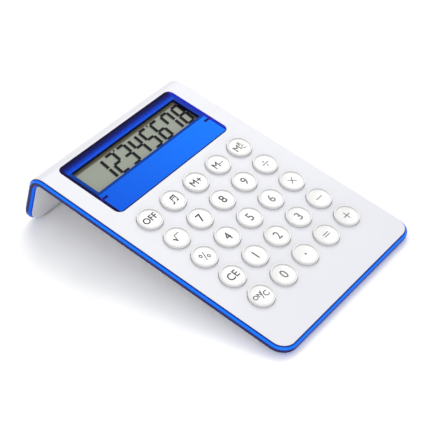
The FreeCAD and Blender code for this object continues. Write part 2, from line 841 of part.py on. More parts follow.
slope = Rotation(Vector(1, 0, 0), value("tilt"))
outline = Part.makeCompound([part.Shape for part in fixed[:2]])
span = outline.transformGeometry(Placement(Vector(), slope).toMatrix()).optimalBoundingBox()
table = -value("floor_drop * cos(tilt)")
stand = Placement(Vector(0, -(span.YMin + span.YMax) / 2, -table), slope)
for part, spot in placed:
    part.Placement = stand.multiply(Placement(spot, Rotation()))
doc.recompute()

# ---- checks and output ------------------------------------------------------

for item in doc.Objects:
    if "Invalid" in item.State or "Error" in item.State:
        raise RuntimeError(f"{item.Label} did not build: {item.State}")
for part, _ in placed:
    if part.Shape.isNull() or not part.Shape.isValid():
        raise RuntimeError(f"{part.Label} has no valid shape")

os.makedirs("parts", exist_ok=True)
for part, _ in placed:
    part.Shape.exportStep(f"parts/{part.Label}.step")
print(len(placed), "nodes written; stand at", stand.Base)
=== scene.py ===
# %% [markdown]
# # A desk calculator bent from one sheet
#
# The calculator is a thin slab whose back edge folds down into a leg as wide as the slab.
# Two white covers close on a blue edge frame.  In the slab sit a blue display panel with a liquid
# crystal display and 25 round clear keys.  The exact shapes come from CAD: this script loads them
# as a fixed frame, gives every part its finish, and replaces the parts whose looks need more than
# a plain solid.  Lengths are in metres, and most are written as a number of millimetres times MM.

# %% Load the CAD frame
import json
import math

import bmesh
import bpy
from mathutils import Matrix, Vector


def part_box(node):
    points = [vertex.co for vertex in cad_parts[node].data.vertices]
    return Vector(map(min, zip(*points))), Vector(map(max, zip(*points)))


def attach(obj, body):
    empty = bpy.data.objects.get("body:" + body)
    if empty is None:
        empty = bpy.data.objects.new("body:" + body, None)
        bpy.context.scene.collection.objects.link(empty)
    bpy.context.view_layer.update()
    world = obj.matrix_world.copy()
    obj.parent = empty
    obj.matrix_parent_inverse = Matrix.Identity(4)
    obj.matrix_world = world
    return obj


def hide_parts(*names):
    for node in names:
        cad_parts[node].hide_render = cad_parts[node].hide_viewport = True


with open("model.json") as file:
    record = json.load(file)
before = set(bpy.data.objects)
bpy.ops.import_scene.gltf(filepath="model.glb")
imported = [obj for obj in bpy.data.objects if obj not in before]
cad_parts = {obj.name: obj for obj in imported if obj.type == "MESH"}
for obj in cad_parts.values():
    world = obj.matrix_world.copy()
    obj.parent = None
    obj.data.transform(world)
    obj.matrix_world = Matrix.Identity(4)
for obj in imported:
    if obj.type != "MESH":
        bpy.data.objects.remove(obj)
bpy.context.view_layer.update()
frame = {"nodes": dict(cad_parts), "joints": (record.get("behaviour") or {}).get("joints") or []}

MM = 0.001
nodes = frame["nodes"]
print("CAD parts:", len(nodes))

# %% [markdown]
# ## The slab's own directions
#
# Keys, legends and digits lie on a slab that slopes towards the user, so they are easiest to make
# flat: X to the right, Y from the front edge to the back, Z up from the face.  One matrix then
# carries them into place.  Its slope comes from the way the keys travel, and its place from the
# circuit board, a plain plate whose middle is also the middle of its box.

# %% Find the slab
press = Vector(frame["joints"][0]["axis"])
tilt = math.atan2(press.y, -press.z)
board_low, board_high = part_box("circuit_board")
board_middle = Vector((0, 77.7, -4.5)) * MM
turn = Matrix.Rotation(tilt, 4, "X")
slab = Matrix.Translation((board_low + board_high) / 2 - turn @ board_middle) @ turn
print("slope:", round(math.degrees(tilt), 2), "degrees; front edge at", slab.translation)

# %% [markdown]
# ## Camera
#
# The camera looks down on the calculator from the front left through a long lens, which keeps the
# two sides nearly parallel.  Its three directions are unit vectors in the slab's own directions,
# because it is also turned a little about its own line of sight.

# %% Place the camera
camera_right = Vector((0.61579, -0.77805, 0.12426))
camera_down = Vector((-0.51895, -0.51918, -0.67907))
camera_ahead = Vector((0.592865, 0.353682, -0.723478))
camera_spot = Vector((-359.81, -135.95, 426.91)) * MM
camera_data = bpy.data.cameras.new("camera")
camera_data.lens = 105.79
camera_data.sensor_width = 36
camera_data.clip_start = 0.01
camera = bpy.data.objects.new("camera", camera_data)
bpy.context.scene.collection.objects.link(camera)
bpy.context.scene.camera = camera
axes = Matrix((camera_right, -camera_down, -camera_ahead)).transposed().to_4x4()
camera.matrix_world = slab @ Matrix.Translation(camera_spot) @ axes
print("camera at", camera.location)

# %% [markdown]
# ## Building materials out of nodes
#
# A finish is a small tree of nodes.  These helpers add a node, set or link its sockets, and mix
# colours, so that each material below reads as a short recipe.

# %% Node helpers
def add(tree, kind, *ordered, settings=None, **named):
    """Adds a node.  ordered and named fill its sockets with values or with other nodes."""
    made = tree.nodes.new("ShaderNode" + kind)
    for key, setting in (settings or {}).items():
        setattr(made, key, setting)
    pairs = list(zip(made.inputs, ordered))
    pairs += [(made.inputs[key.replace("_", " ")], given) for key, given in named.items()]
    for socket, given in pairs:
        connect(tree, given, socket)
    return made


def connect(tree, given, socket):
    """Links a node or a socket to a socket, or sets that socket's value."""
    if isinstance(given, bpy.types.Node):
        given = given.outputs[0]
    if isinstance(given, bpy.types.NodeSocket):
        tree.links.new(given, socket)
    elif given is not None:
        socket.default_value = given


def colour(red, green, blue):
    """A colour given as three screen numbers from 0 to 255, turned into linear light."""
    return tuple(((part / 255 + 0.055) / 1.055) ** 2.4 for part in (red, green, blue)) + (1,)


def reckon(tree, kind, first, second=None, clamp=False):
    """One step of arithmetic.  kind names the operation, such as ADD."""
    return add(tree, "Math", first, second, settings={"operation": kind, "use_clamp": clamp})


def mix(tree, amount, first, second):
    """Mixes two colours.  An amount of 0 gives the first and 1 the second."""
    made = tree.nodes.new("ShaderNodeMix")
    made.data_type = "RGBA"
    connect(tree, amount, made.inputs[0])
    connect(tree, first, made.inputs[6])
    connect(tree, second, made.inputs[7])
    return made.outputs[2]


def ramp(tree, amount, stops):
    """A colour ramp from a list of (place, colour)."""
    made = add(tree, "ValToRGB", amount)
    while len(made.color_ramp.elements) < len(stops):
        made.color_ramp.elements.new(0.5)
    for element, (place, shade) in zip(made.color_ramp.elements, stops):
        element.position = place
        element.color = shade
    return made


def new_group(name, inputs, outputs):
    """A node group with named sockets.  inputs is {name: (type, default)}."""
    tree = bpy.data.node_groups.new(name, "ShaderNodeTree")
    for label, (kind, default) in inputs.items():
        socket = tree.interface.new_socket(label, in_out="INPUT", socket_type="NodeSocket" + kind)
        socket.default_value = default
    for label, kind in outputs.items():
        tree.interface.new_socket(label, in_out="OUTPUT", socket_type="NodeSocket" + kind)
    return tree, tree.nodes.new("NodeGroupInput"), tree.nodes.new("NodeGroupOutput")


def use_group(tree, group, **named):
    return add(tree, "Group", settings={"node_tree": group}, **named)


# %% [markdown]
# ## Shared effects
#
# Three effects turn up in many finishes, so each is a node group that is built once:
#
# * *moulded skin*: plastic from a mould is never one flat colour or one gloss.  It has faint
#   clouds in its colour, faint smears in its gloss and a very fine ripple.
# * *slab place*: where a point lies on the slab, in millimetres, for patterns that follow it.
# * *strip*: a soft-edged mask between two places, for painting bands and lines.

# %% Moulded skin
skin, given, out = new_group(
    "moulded skin",
    {"Color": ("Color", (0.8, 0.8, 0.8, 1)), "Clouds": ("Float", 0.03), "Gloss": ("Float", 0.3),
     "Smears": ("Float", 0.08), "Ripple": ("Float", 0.05), "Grain": ("Float", 900.0)},
    {"Color": "Color", "Roughness": "Float", "Normal": "Vector"})
place = add(skin, "TexCoord").outputs["Object"]
clouds = add(skin, "TexNoise", Vector=place, Scale=38.0, Detail=3.0)
lift = add(skin, "MapRange", clouds, 0.3, 0.7, -1.0, 1.0)
shade = reckon(skin, "MULTIPLY", lift, given.outputs["Clouds"])
shade = reckon(skin, "ADD", shade, 1.0)
tinted = add(skin, "VectorMath", given.outputs["Color"], settings={"operation": "SCALE"})
connect(skin, shade, tinted.inputs["Scale"])
stretch = add(skin, "Mapping", Vector=place, Rotation=(0.3, 0.2, 0.9), Scale=(1.0, 6.0, 2.0))
smears = add(skin, "TexNoise", Vector=stretch, Scale=55.0, Detail=4.0, Roughness=0.6)
smears = add(skin, "MapRange", smears, 0.35, 0.75, -0.5, 1.0)
rough = reckon(skin, "MULTIPLY", smears, given.outputs["Smears"])
rough = reckon(skin, "ADD", rough, given.outputs["Gloss"])
grain = add(skin, "TexNoise", Vector=place, Scale=given.outputs["Grain"], Detail=2.0)
ripple = add(skin, "Bump", Strength=given.outputs["Ripple"], Distance=0.00003, Height=grain)
for label, made in (("Color", tinted), ("Roughness", rough), ("Normal", ripple)):
    connect(skin, made, out.inputs[label])
print("group:", skin.name)

# %% Slab place
where, _, out = new_group("slab place", {}, {"X": "Float", "Y": "Float", "Z": "Float"})
place = add(where, "TexCoord").outputs["Object"]
flat = slab.inverted()
flat_turn = flat.to_euler()
laid = add(where, "Mapping", Vector=place, Location=flat.translation, Rotation=flat_turn)
laid = add(where, "VectorMath", laid, settings={"operation": "SCALE"})
laid.inputs["Scale"].default_value = 1 / MM
parts = add(where, "SeparateXYZ", laid)
for label in "XYZ":
    connect(where, parts.outputs[label], out.inputs[label])
print("group:", where.name)

# %% Strip
strip, given, out = new_group(
    "strip",
    {"Place": ("Float", 0.0), "From": ("Float", 0.0), "To": ("Float", 1.0), "Soft": ("Float", 0.1)},
    {"Mask": "Float"})
half = reckon(strip, "MULTIPLY", given.outputs["Soft"], 0.5)
edges = []
for label, sign in (("From", 1), ("To", -1)):
    beyond = reckon(strip, "SUBTRACT", given.outputs["Place"], given.outputs[label])
    beyond = reckon(strip, "MULTIPLY", beyond, float(sign))
    beyond = reckon(strip, "ADD", beyond, half)
    edges.append(reckon(strip, "DIVIDE", beyond, given.outputs["Soft"], clamp=True))
connect(strip, reckon(strip, "MULTIPLY", *edges), out.inputs["Mask"])
print("group:", strip.name)

# %% [markdown]
# ## Finishes of the case
#
# The white covers are glossy moulded plastic with a slightly cool white.  A recipe that many
# plastics share is kept in one function: a moulded skin feeding a Principled shader.  Numbers that
# are the same all over, such as how strongly it reflects, are set on the shader itself.

# %% A plain moulded plastic
def new_material(name):
    material = bpy.data.materials.new(name)
    material.use_nodes = True
    tree = material.node_tree
    return material, tree, tree.nodes["Principled BSDF"]


def moulded(name, tint, gloss=0.3, sheen=0.5, clouds=0.02, ripple=0.06):
    """A moulded plastic or rubber of one colour.  sheen is how strongly it reflects."""
    material, tree, shader = new_material(name)
    dress_skin(tree, shader, tint, gloss, sheen, clouds, ripple)
    return material


def dress_skin(tree, shader, tint, gloss=0.3, sheen=0.5, clouds=0.02, ripple=0.06, smears=0.06):
    """Feeds a shader from the moulded skin.  tint is a colour or a socket that gives one."""
    made = use_group(tree, skin, Color=tint, Clouds=clouds, Gloss=gloss, Smears=smears,
                     Ripple=ripple)
    connect(tree, made.outputs["Color"], shader.inputs["Base Color"])
    connect(tree, made.outputs["Roughness"], shader.inputs["Roughness"])
    connect(tree, made.outputs["Normal"], shader.inputs["Normal"])
    shader.inputs["Specular IOR Level"].default_value = sheen


white_shell = moulded("white shell", (0.60, 0.603, 0.637, 1), gloss=0.34, clouds=0.01)
print("finish:", white_shell.name)

# %% [markdown]
# ## Finish of the keys
#
# A key is a clear cap over a white print.  Its steep walls are painted greyer than its floor:
# this is painted shade, most on the inner wall at the back right, which faces away from the
# light, and a little on the outer side.  Each point of a cap carries a number, "wall", that says
# how much painted shade it gets.

# %% Key cap
def clear_cap():
    material, tree, shader = new_material("key cap")
    # Painted shade: the ramp greys each point of the cap by its wall number.
    wall = add(tree, "Attribute", settings={"attribute_name": "wall"}).outputs["Fac"]
    tint = ramp(tree, wall, [(0.0, (0.69, 0.69, 0.68, 1)), (1.0, (0.42, 0.42, 0.44, 1))])
    dress_skin(tree, shader, tint, gloss=0.12, sheen=0.7, clouds=0.006, ripple=0.02)
    return material


key_cap = clear_cap()
print("finish:", key_cap.name)

# %% [markdown]
# ## Finish of the blue frame
#
# The frame is clear blue plastic.  The light that its bevels gather from above is painted into
# their colour as a bright blue glow, and the shade in its plain band, which looks through the
# whole width of the frame, is painted nearly black.  Each point of the frame carries a number, its
# depth below the cover's face, and a ramp turns that number into blue with this painted light
# and shade.

# %% Edge-lit blue
def blue_edge():
    material, tree, shader = new_material("blue edge")
    depth = add(tree, "Attribute", settings={"attribute_name": "depth"}).outputs["Fac"]
    # Painted light and shade over the frame's blue: bright bevels and a nearly black band.
    shades = ramp(tree, depth, [
        (0.00, colour(0, 36, 130)),
        (0.06, colour(0, 46, 150)),
        (0.11, colour(16, 112, 240)),
        (0.23, colour(20, 116, 244)),
        (0.29, colour(24, 66, 186)),
        (0.34, colour(40, 32, 78)),
        (0.64, colour(38, 30, 66)),
        (0.70, colour(4, 60, 190)),
        (0.80, colour(0, 108, 238)),
        (0.94, colour(4, 60, 190)),
    ])
    dress_skin(tree, shader, shades, gloss=0.2, sheen=0.1, clouds=0.04, ripple=0.03)
    return material


blue_frame = blue_edge()
print("finish:", blue_frame.name)

# %% [markdown]
# ## Finish of the display panel
#
# The panel is clear blue plastic over a blue carrier.  In front of the window it is flat and
# bright, and painted light makes it brighter towards the right.  Its side, back and front walls
# show through it as bands of painted shade: dark violet, and a lighter lilac on the right.  The
# rim round the window and the panel's underside are painted darker as painted shade.  Between
# the window and the back band the carrier is ribbed, which gives long streaks.  All of this
# follows the slab, so it is painted with strips in slab millimetres.

# %% Blue panel
# In slab millimetres: the panel, its window, the walls seen through it, the rim round the
# window, the start of the ribs, the clip slots and the panel's underside.  OUTSIDE lies well
# past every edge.
PANEL_LEFT, PANEL_RIGHT = -41.15, 41.75
PANEL_FRONT, PANEL_BACK = 104.45, 144.55
WINDOW_LEFT, WINDOW_RIGHT = -37.5, 38.1
WINDOW_FRONT, WINDOW_BACK = 120.8, 138.2
WALL_LEFT, WALL_RIGHT = 1.8, 1.9
WALL_FRONT, WALL_BACK = 0.7, 1.8
RIM_FRONT = WINDOW_FRONT - 1.5
RIM_END = WINDOW_RIGHT + 0.4
RIB_START = WINDOW_BACK + 0.3
SLOT_FRONT, SLOT_BACK = 115.7, 117.0
SLOT_LEFT, SLOT_RIGHT = -36.2, 37.0
UNDERSIDE = -0.45
OUTSIDE = 200.0


def painter(tree):
    """Slab millimetres of a point, and a function that gives the mask of a strip."""
    here = use_group(tree, where)

    def band(axis, start, stop, soft=0.3):
        made = use_group(tree, strip, Place=here.outputs[axis], From=start, To=stop, Soft=soft)
        return made.outputs["Mask"]
    return here, band


def panel_blue():
    material, tree, shader = new_material("blue panel")
    here, band = painter(tree)
    # Painted light: the blue grows brighter towards the right.
    across = add(tree, "MapRange", here.outputs["X"], PANEL_LEFT, PANEL_RIGHT, 0.0, 1.0)
    base = ramp(tree, across, [(0.0, colour(6, 80, 202)), (1.0, colour(12, 110, 232))])

    lengthways = add(tree, "CombineXYZ", reckon(tree, "MULTIPLY", here.outputs["X"], 0.03),
                     here.outputs["Y"], 0.0)
    streaks = add(tree, "TexNoise", Vector=lengthways, Scale=1.6, Detail=4.0, Roughness=0.7)
    slope = add(tree, "MapRange", here.outputs["Y"], WINDOW_BACK + 0.8, PANEL_BACK - WALL_BACK,
                0.0, 1.0)
    slope = reckon(tree, "ADD", slope, reckon(tree, "MULTIPLY", streaks, 0.5))
    ribbed = ramp(tree, slope, [(0.22, colour(4, 70, 206)), (0.55, colour(2, 50, 166)),
                                (0.85, colour(0, 32, 124)), (1.00, colour(0, 18, 92))])
    made = mix(tree, band("Y", RIB_START, OUTSIDE), base, ribbed)

    # Painted shade: a darker blue rim round the window, in another tone on the right.
    rim = colour(0, 54, 136)
    front_rim = reckon(tree, "MULTIPLY", band("Y", RIM_FRONT, WINDOW_FRONT + 8),
                       band("X", PANEL_LEFT, RIM_END))
    made = mix(tree, front_rim, made, rim)
    side_rim = reckon(tree, "MULTIPLY", band("Y", WINDOW_FRONT, RIB_START),
                      band("X", PANEL_LEFT, RIM_END))
    made = mix(tree, side_rim, made, rim)
    right_rim = reckon(tree, "MULTIPLY", band("Y", RIM_FRONT, RIB_START),
                       band("X", WINDOW_RIGHT, OUTSIDE))
    made = mix(tree, right_rim, made, colour(22, 48, 140))
    # Painted shade: the walls seen through the plastic, lilac on the right and dark violet
    # elsewhere.
    violet = colour(10, 0, 58)
    lilac = colour(18, 32, 168)
    for start, stop, shade in ((-OUTSIDE, PANEL_LEFT + WALL_LEFT, violet),
                               (PANEL_RIGHT - WALL_RIGHT, OUTSIDE, lilac)):
        made = mix(tree, band("X", start, stop), made, shade)
    made = mix(tree, band("Y", PANEL_BACK - WALL_BACK, OUTSIDE), made, colour(8, 0, 52))
    made = mix(tree, band("Y", 0.0, PANEL_FRONT + WALL_FRONT), made, colour(8, 8, 84))
    slots = band("Y", SLOT_FRONT, SLOT_BACK, 0.2)
    for start, stop in ((-OUTSIDE, SLOT_LEFT), (SLOT_RIGHT, OUTSIDE)):
        made = mix(tree, reckon(tree, "MULTIPLY", band("X", start, stop), slots), made,
                   colour(38, 16, 124))
    # Painted shade: the panel's underside is darkened.
    under = band("Z", -OUTSIDE, UNDERSIDE, 0.1)
    made = mix(tree, under, made, colour(16, 16, 52))
    dress_skin(tree, shader, made, gloss=0.14, sheen=0.02, smears=0.04, ripple=0.02)
    return material


blue_panel = panel_blue()
print("finish:", blue_panel.name)

# %% [markdown]
# ## Finishes of the display
#
# A liquid crystal display seen from above is a grey-green film over a silvery reflector.  Under
# the panel's back and right walls the film lies in shade, and a pale line runs along the other two
# sides, where the bare edge of the glass shows.

# %% Display films
# In millimetres: the bare edges of the glass, and the shade under the panel's walls.
BARE_LEFT, BARE_FRONT = 0.5, 0.9
FILM_SHADE = 1.9


def display_film():
    material, tree, shader = new_material("display film")
    here, band = painter(tree)
    fibres = add(tree, "TexNoise", Vector=add(tree, "TexCoord").outputs["Object"], Scale=2600.0,
                 Detail=3.0)
    made = ramp(tree, fibres, [(0.25, colour(122, 127, 116)), (0.75, colour(138, 143, 131))])
    pale = colour(176, 166, 128)
    made = mix(tree, band("X", -OUTSIDE, WINDOW_LEFT + BARE_LEFT, 0.2), made.outputs[0], pale)
    made = mix(tree, band("Y", 0.0, WINDOW_FRONT + BARE_FRONT, 0.2), made, pale)
    back_shade = band("Y", WINDOW_BACK - FILM_SHADE, OUTSIDE, 0.5)
    made = mix(tree, back_shade, made, colour(84, 80, 62))
    right_shade = band("X", WINDOW_RIGHT - FILM_SHADE, OUTSIDE, 0.5)
    made = mix(tree, right_shade, made, colour(96, 90, 78))
    connect(tree, made, shader.inputs["Base Color"])
    roughness = add(tree, "MapRange", fibres, 0.2, 0.8, 0.32, 0.45)
    connect(tree, roughness, shader.inputs["Roughness"])
    shader.inputs["Specular IOR Level"].default_value = 0.2
    return material


film = display_film()
segment_ink = moulded("segment ink", colour(8, 10, 12), gloss=0.6, sheen=0.1, clouds=0.05)
segment_shade = moulded("segment shade", colour(96, 100, 90), gloss=0.45, sheen=0.2, clouds=0.05)
print("finishes:", film.name, segment_ink.name, segment_shade.name)


def display_glass():
    """Clear glass with faint smears in its gloss."""
    material, tree, shader = new_material("display glass")
    place = add(tree, "TexCoord").outputs["Object"]
    smears = add(tree, "TexNoise", Vector=place, Scale=120.0, Detail=3.0)
    connect(tree, add(tree, "MapRange", smears, 0.3, 0.7, 0.01, 0.06), shader.inputs["Roughness"])
    tint = ramp(tree, smears, [(0.2, (0.86, 0.92, 0.90, 1)), (0.8, (0.90, 0.94, 0.92, 1))])
    connect(tree, tint, shader.inputs["Base Color"])
    shader.inputs["Transmission Weight"].default_value = 0.9
    shader.inputs["IOR"].default_value = 1.5
    return material


glass = display_glass()
print("finish:", glass.name)

# %% [markdown]
# ## Metals
#
# Springs, screws and cells are small metal parts.  Rolled or brushed metal has fine lines along
# one direction, so its noise is stretched hard along that direction and drives the colour, the
# gloss and a little relief together.

# %% Brushed metal
brushed, given, out = new_group(
    "brushed lines",
    {"Color": ("Color", (0.6, 0.6, 0.6, 1)), "Contrast": ("Float", 0.2), "Gloss": ("Float", 0.3),
     "Fineness": ("Float", 1500.0)},
    {"Color": "Color", "Roughness": "Float", "Normal": "Vector"})
place = add(brushed, "TexCoord").outputs["Object"]
drawn = add(brushed, "Mapping", Vector=place, Scale=(0.04, 1.0, 1.0))
lines = add(brushed, "TexNoise", Vector=drawn, Scale=given.outputs["Fineness"], Detail=3.0)
lift = add(brushed, "MapRange", lines, 0.3, 0.7, -1.0, 1.0)
shade = reckon(brushed, "ADD", reckon(brushed, "MULTIPLY", lift, given.outputs["Contrast"]), 1.0)
tinted = add(brushed, "VectorMath", given.outputs["Color"], settings={"operation": "SCALE"})
connect(brushed, shade, tinted.inputs["Scale"])
rough = reckon(brushed, "ADD", reckon(brushed, "MULTIPLY", lift, 0.06), given.outputs["Gloss"])
relief = add(brushed, "Bump", Strength=0.15, Distance=0.00002, Height=lines)
for label, made in (("Color", tinted), ("Roughness", rough), ("Normal", relief)):
    connect(brushed, made, out.inputs[label])


def metal(name, tint, gloss=0.3, contrast=0.12, fineness=1500.0):
    material, tree, shader = new_material(name)
    made = use_group(tree, brushed, Color=tint, Contrast=contrast, Gloss=gloss, Fineness=fineness)
    connect(tree, made.outputs["Color"], shader.inputs["Base Color"])
    connect(tree, made.outputs["Roughness"], shader.inputs["Roughness"])
    connect(tree, made.outputs["Normal"], shader.inputs["Normal"])
    shader.inputs["Metallic"].default_value = 1.0
    return material


screw_steel = metal("zinc screw", (0.62, 0.63, 0.66, 1), gloss=0.32)
spring_steel = metal("spring steel", (0.66, 0.65, 0.62, 1), gloss=0.25)
cell_steel = metal("nickel cell", (0.78, 0.77, 0.74, 1), gloss=0.16, contrast=0.05)
brass = metal("brass disc", (0.83, 0.62, 0.26, 1), gloss=0.28)
foil = metal("reflector foil", (0.72, 0.73, 0.70, 1), gloss=0.4, contrast=0.2, fineness=2500.0)
print("metals:", [made.name for made in (screw_steel, spring_steel, cell_steel, brass, foil)])

# %% [markdown]
# ## Parts that only show from below or when the case is open
#
# Rubber, silicone, resin and ceramic use the moulded recipe with more ripple.  The circuit board
# gets its copper tracks as a pattern, and the connector strip its fine dark stripes.

# %% Rubber, board and connector
foot_rubber = moulded("foot rubber", (0.075, 0.075, 0.085, 1), gloss=0.7, ripple=0.4, clouds=0.1)
silicone = moulded("silicone", (0.78, 0.78, 0.75, 1), gloss=0.5, ripple=0.2)
carbon = moulded("carbon", (0.02, 0.02, 0.02, 1), gloss=0.6, ripple=0.3, clouds=0.2)
ceramic = moulded("ceramic", (0.45, 0.33, 0.2, 1), gloss=0.5, clouds=0.1)
resin = moulded("black resin", (0.012, 0.012, 0.013, 1), gloss=0.22, clouds=0.2)


def board_laminate():
    material, tree, shader = new_material("board laminate")
    here = use_group(tree, where)
    spot = add(tree, "CombineXYZ", here.outputs["X"], here.outputs["Y"], 0.0)
    weave = add(tree, "TexNoise", Vector=spot, Scale=3.0, Detail=4.0)
    base = ramp(tree, weave, [(0.3, (0.36, 0.24, 0.10, 1)), (0.7, (0.44, 0.31, 0.14, 1))])
    tracks = add(tree, "TexVoronoi", Vector=spot, Scale=0.22,
                 settings={"distance": "MANHATTAN", "feature": "F1"})
    lines = add(tree, "Math", tracks.outputs["Distance"], 0.16, 0.035,
                settings={"operation": "COMPARE"})
    made = mix(tree, lines, base.outputs[0], (0.10, 0.26, 0.08, 1))
    connect(tree, made, shader.inputs["Base Color"])
    connect(tree, add(tree, "MapRange", weave, 0.2, 0.8, 0.35, 0.6), shader.inputs["Roughness"])
    connect(tree, add(tree, "Bump", Strength=0.3, Distance=0.00004, Height=lines),
            shader.inputs["Normal"])
    return material


def striped_rubber():
    material, tree, shader = new_material("striped connector")
    here = use_group(tree, where)
    stripes = add(tree, "Math", reckon(tree, "MULTIPLY", here.outputs["X"], 12.0),
                  settings={"operation": "SINE"})
    made = ramp(tree, stripes, [(0.35, (0.03, 0.03, 0.03, 1)), (0.65, (0.62, 0.60, 0.56, 1))])
    connect(tree, made, shader.inputs["Base Color"])
    connect(tree, add(tree, "MapRange", stripes, -1.0, 1.0, 0.5, 0.7), shader.inputs["Roughness"])
    return material


def legend_ink_finish():
    """Printed grey, with a painted reflection of the caps' sheen that lightens it towards the front
    right; darkest at the back left.
    """
    material, tree, shader = new_material("legend ink")
    here = use_group(tree, where)
    # Painted reflection: the grey is lighter towards the front right.
    painted_reflection = add(tree, "Math", here.outputs["Y"], -0.9, here.outputs["X"],
               settings={"operation": "MULTIPLY_ADD"})
    painted_reflection = add(tree, "MapRange", painted_reflection, -110.0, -35.0, 0.0, 1.0)
    tint = ramp(tree, painted_reflection, [(0.1, colour(14, 14, 16)), (0.5, colour(62, 62, 64)),
                             (0.9, colour(112, 112, 114))])
    dress_skin(tree, shader, tint, gloss=0.4, sheen=0.2, clouds=0.05)
    return material


legend_ink = legend_ink_finish()
laminate = board_laminate()
connector = striped_rubber()
print("finishes:", laminate.name, connector.name)

# %% [markdown]
# ## Turning a bmesh into a finished piece
#
# Every new piece ends the same way: a bmesh becomes an object that sits at the origin, with its
# place in its mesh, a material, smooth shading between sharp edges, and a body to ride on.

# %% Finish a piece
def finish_piece(name, shape, material, body="case", to_slab=True, sharp=35):
    if to_slab:
        bmesh.ops.transform(shape, matrix=slab, verts=shape.verts)
    mesh = bpy.data.meshes.new(name)
    shape.to_mesh(mesh)
    shape.free()
    mesh.materials.append(material)
    mesh.shade_smooth()
    mesh.set_sharp_from_angle(angle=math.radians(sharp))
    piece = bpy.data.objects.new(name, mesh)
    bpy.context.scene.collection.objects.link(piece)
    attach(piece, body)
    return piece


def soften(piece, width, segments=3, angle=40):
    """Breaks the sharp edges of a piece, as a mould does."""
    bevel = piece.modifiers.new("softened edges", "BEVEL")
    bevel.width = width
    bevel.segments = segments
    bevel.limit_method = "ANGLE"
    bevel.angle_limit = math.radians(angle)
    bevel.harden_normals = True
    even = piece.modifiers.new("even shading", "WEIGHTED_NORMAL")
    even.keep_sharp = True


def refined(node):
    """A merged copy of a CAD part's mesh, ready to be refined."""
    shape = bmesh.new()
    shape.from_mesh(nodes[node].data)
    bmesh.ops.remove_doubles(shape, verts=shape.verts, dist=1e-6)
    return shape


# %% [markdown]
# ## Covers, door and frame
#
# The case parts already have the right shape.  A merged copy of each gets its edges broken by a
# fine bevel, because an edge with no radius never catches the light.  The frame's points also get
# the depth number that its finish reads: 0 at the upper cover's side and 1 at the lower one's.

# %% White covers
COVER_EDGE = 0.18 * MM

for node, slot in (("top_cover", "white_shell"), ("bottom_cover", "white_shell"),
                   ("cell_door", "white_shell")):
    cover = finish_piece(node + "_finished", refined(node), white_shell, to_slab=False)
    soften(cover, COVER_EDGE)
    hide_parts(node)
    print(cover.name, len(cover.data.polygons), "faces")

# %% Blue frame
# In slab millimetres: where the bend begins, its outer radius, and the frame's depth.
BEND_START = 143.2
BEND_ROUND = 9.3
LEG_LEAN = math.radians(7.1)
FRAME_TOP = 0.25
FRAME_DEPTH = 4.2
FRAME_EDGE = 0.12 * MM


def skin_depth(point):
    """Millimetres below the outer skin, on the slab, in the bend or on the leg."""
    flat_point = flat @ point / MM
    y = flat_point.y - BEND_START
    z = flat_point.z + BEND_ROUND
    if y <= 0:
        return -flat_point.z
    if math.atan2(y, z) <= math.pi / 2 - LEG_LEAN:
        return BEND_ROUND - math.hypot(y, z)
    return BEND_ROUND - y * math.cos(LEG_LEAN) - z * math.sin(LEG_LEAN)


ring = refined("edge_frame")
layer = ring.verts.layers.float.new("depth")
for corner in ring.verts:
    corner[layer] = (skin_depth(corner.co) - FRAME_TOP) / FRAME_DEPTH
edge = finish_piece("edge_frame_finished", ring, blue_frame, to_slab=False, sharp=25)
soften(edge, FRAME_EDGE, angle=25)
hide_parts("edge_frame")
print(edge.name, len(edge.data.polygons), "faces")

# %% Display panel
PANEL_EDGE = 0.15 * MM

panel = finish_piece("display_panel_finished", refined("display_panel"), blue_panel,
                     to_slab=False)
soften(panel, PANEL_EDGE)
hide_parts("display_panel")

# %% [markdown]
# ## Keys
#
# A key is a round cap with a raised, rounded rim and a flat floor where its legend is printed.
# It is a turned shape, so half of its section is spun round the key's axis.  One section makes
# all 25 caps.

# %% Turn a key cap
PITCH_SIDE = 17.0
PITCH_DEEP = 16.24
KEY_FRONT = 27.36
FLOOR = 0.93
# Half of a cap as (radius, height), in millimetres: flange, side, rim and floor.
CAP_SECTION = [
    (0.0, -2.0), (2.4, -2.0), (2.4, -1.65), (7.1, -1.65), (7.1, -1.15), (6.3, -1.15),
    (6.3, 1.25), (6.27, 1.42), (6.21, 1.53), (6.13, 1.58), (6.04, 1.6), (5.95, 1.58),
    (5.84, 1.5), (5.62, 1.28), (5.38, 1.08), (5.1, 0.97), (4.8, FLOOR), (0.0, FLOOR),
]
# Painted shade on a cap: where its inner wall and outer side lie, in millimetres of radius, and the
# least and the side amounts.
INNER_WALL = (5.2, 5.8)
OUTER_WALL = 6.25
LEAST_SHADE = 0.12
SIDE_SHADE = 0.3


def turned(section, steps=64):
    """Spins half a section, given in millimetres, round the Z axis."""
    shape = bmesh.new()
    points = [shape.verts.new((radius * MM, 0, height * MM)) for radius, height in section]
    sides = [shape.edges.new(pair) for pair in zip(points, points[1:])]
    bmesh.ops.spin(shape, geom=points + sides, cent=(0, 0, 0), axis=(0, 0, 1),
                   angle=2 * math.pi, steps=steps, use_merge=True)
    bmesh.ops.remove_doubles(shape, verts=shape.verts, dist=1e-7)
    bmesh.ops.recalc_face_normals(shape, faces=shape.faces)
    return shape


def wall_shade(point):
    """How much painted shade a cap gets at a point: its inner wall, most at the back right, and its
    side.
    """
    radius = math.hypot(point.x, point.y) / MM
    if INNER_WALL[0] < radius < INNER_WALL[1]:
        return max(LEAST_SHADE, (point.x + point.y) / (radius * MM * math.sqrt(2)))
    return SIDE_SHADE if radius > OUTER_WALL else 0.0


def key_spot(column, row):
    """The centre of a key on the slab's face.  Rows count from the front."""
    return Vector(((column - 2) * PITCH_SIDE, KEY_FRONT + row * PITCH_DEEP, 0)) * MM


